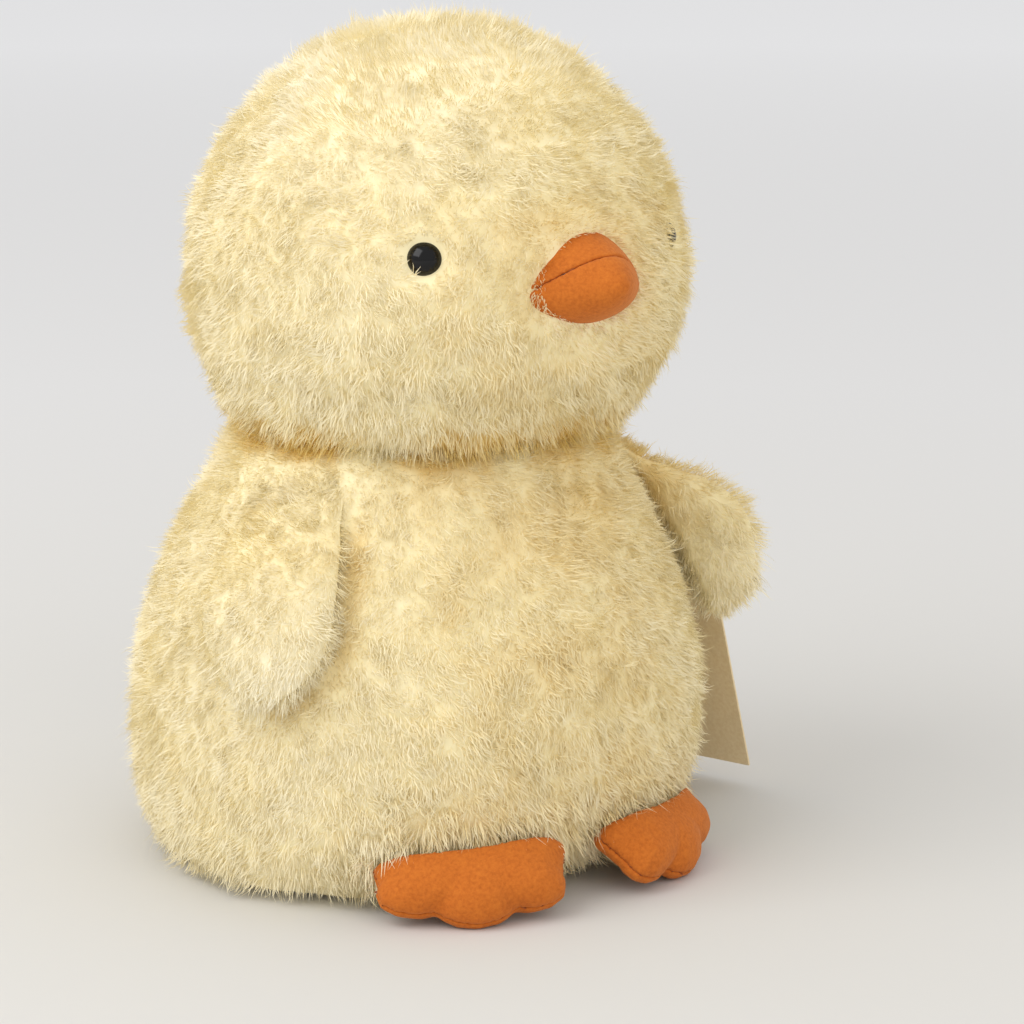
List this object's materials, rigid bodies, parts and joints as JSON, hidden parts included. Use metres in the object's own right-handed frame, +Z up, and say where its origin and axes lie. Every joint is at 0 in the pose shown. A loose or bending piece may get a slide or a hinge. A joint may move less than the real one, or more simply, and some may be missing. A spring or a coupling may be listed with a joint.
{
  "type": "plush chick",
  "caption": "Seated plush chick of pale yellow long-pile fabric with a round head, black safety eyes, an orange felt beak, soft wings, toed felt feet and a plain card swing tag.",
  "frame": {"origin": "middle of the flat base that the chick sits on, on the surface under it", "axes": "+Z up through the head, -Y out of the beak, +X towards the chick's left wing"},
  "size_m": [0.166, 0.148, 0.202],
  "materials": {
    "pile_fabric": "pale yellow long pile on a woven backing, matte",
    "stuffing": "loose white fibre filling",
    "pellet_pouch": "plain woven pouch filled with plastic pellets",
    "orange_felt": "orange felt, matte, seamed",
    "eye_plastic": "polished black",
    "washer_plastic": "moulded, natural white",
    "kraft_card": "uncoated kraft card, plain",
    "pin_plastic": "moulded, translucent white"
  },
  "bodies": {
    "toy": {"body_cover": "pile_fabric", "base_panel": "pile_fabric", "bean_pouch": "pellet_pouch", "body_stuffing": "stuffing", "head_cover": "pile_fabric", "head_stuffing": "stuffing", "eye_right": "eye_plastic", "eye_left": "eye_plastic", "eye_washer_right": "washer_plastic", "eye_washer_left": "washer_plastic", "beak_upper": "orange_felt", "beak_lower": "orange_felt", "beak_stuffing": "stuffing", "tag_pin": "pin_plastic"},
    "wing_right": {"wing_right_cover": "pile_fabric", "wing_right_stuffing": "stuffing"},
    "wing_left": {"wing_left_cover": "pile_fabric", "wing_left_stuffing": "stuffing"},
    "foot_right": {"foot_right_upper": "orange_felt", "foot_right_sole": "orange_felt", "foot_right_stuffing": "stuffing"},
    "foot_left": {"foot_left_upper": "orange_felt", "foot_left_sole": "orange_felt", "foot_left_stuffing": "stuffing"},
    "tag": {"swing_tag": "kraft_card"}
  },
  "joints": [
    {"name": "wing_right_raise", "type": "hinge", "parent": "toy", "child": "wing_right", "pos_m": [-0.04885, -0.01401, 0.102], "axis": [-0.2756, 0.9613, 0], "range_deg": [0, 50], "stiffness_Nm_per_rad": 0.03},
    {"name": "wing_left_raise", "type": "hinge", "parent": "toy", "child": "wing_left", "pos_m": [0.04885, -0.01401, 0.102], "axis": [-0.2756, -0.9613, 0], "range_deg": [-5, 45], "stiffness_Nm_per_rad": 0.03},
    {"name": "foot_right_fold", "type": "hinge", "parent": "toy", "child": "foot_right", "pos_m": [-0.025, -0.05282, 0.01377], "axis": [-0.8829, 0.4695, 0], "range_deg": [0, 15], "stiffness_Nm_per_rad": 0.01},
    {"name": "foot_left_fold", "type": "hinge", "parent": "toy", "child": "foot_left", "pos_m": [0.025, -0.05282, 0.01377], "axis": [-0.8829, -0.4695, 0], "range_deg": [0, 15], "stiffness_Nm_per_rad": 0.01},
    {"name": "tag_swing", "type": "hinge", "parent": "toy", "child": "tag", "pos_m": [0.06895, -0.00223, 0.0623], "axis": [0.916, 0.2454, 0.3173], "range_deg": [-30, 30]}
  ]
}
